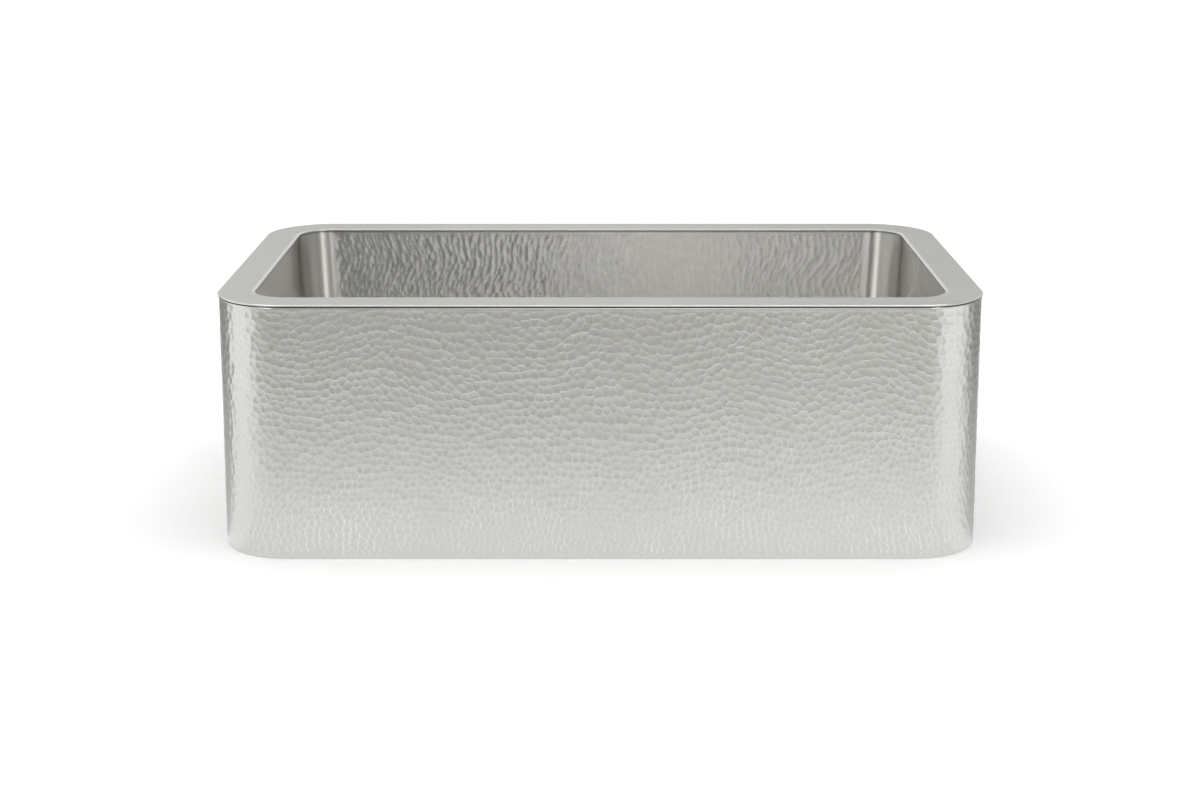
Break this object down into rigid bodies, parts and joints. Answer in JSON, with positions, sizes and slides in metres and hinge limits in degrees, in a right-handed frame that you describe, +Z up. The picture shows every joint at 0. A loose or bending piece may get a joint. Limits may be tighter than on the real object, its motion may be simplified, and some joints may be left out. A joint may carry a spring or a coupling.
{
  "type": "apron front kitchen sink",
  "caption": "Rectangular single-bowl kitchen sink with a hammered metal apron, a flat satin rim and a lift-out basket strainer in its drain.",
  "frame": {"origin": "middle of the base, in the plane that the sink stands on", "axes": "+Z up out of the bowl, -Y out of the apron front, +X to the right as seen from the front"},
  "size_m": [0.762, 0.445, 0.257],
  "materials": {
    "satin_rim": "satin, finely brushed",
    "hammered_skirt": "hand-hammered, satin-polished",
    "hammered_bowl": "hand-hammered, satin-polished",
    "mill_steel": "plain mill finish",
    "drain_steel": "polished",
    "nut_metal": "nickel-plated, as cast",
    "sound_pad": "matt, finely ribbed",
    "seal_rubber": "matt",
    "stopper_rubber": "matt",
    "fibre": "pressed fibre"
  },
  "bodies": {
    "sink": {"rim_frame": "satin_rim", "apron_front": "hammered_skirt", "side_panel_left": "hammered_skirt", "side_panel_right": "hammered_skirt", "back_panel": "hammered_skirt", "bowl_walls": "hammered_bowl", "bowl_floor": "hammered_bowl", "support_channel_left": "mill_steel", "support_channel_right": "mill_steel", "floor_pad_left": "sound_pad", "floor_pad_right": "sound_pad", "front_wall_pad": "sound_pad", "back_wall_pad": "sound_pad", "strainer_body": "drain_steel", "flange_seal": "seal_rubber", "under_gasket": "seal_rubber", "friction_ring": "fibre", "locknut": "nut_metal", "outlet_crossbar": "drain_steel"},
    "basket": {"basket_cup": "drain_steel", "basket_hub": "drain_steel", "stem_o_ring": "seal_rubber"},
    "stopper": {"stopper_stem": "drain_steel", "stopper_plate": "drain_steel", "stopper_rubber": "stopper_rubber", "stopper_washer": "drain_steel", "stopper_nut": "drain_steel", "pull_knob": "drain_steel"}
  },
  "joints": [
    {"name": "basket_lift", "type": "slide", "parent": "sink", "child": "basket", "axis": [0, 0, 1], "range_m": [0, 0.262]},
    {"name": "stopper_pull", "type": "slide", "parent": "basket", "child": "stopper", "axis": [0, 0, 1], "range_m": [0, 0.007]}
  ]
}
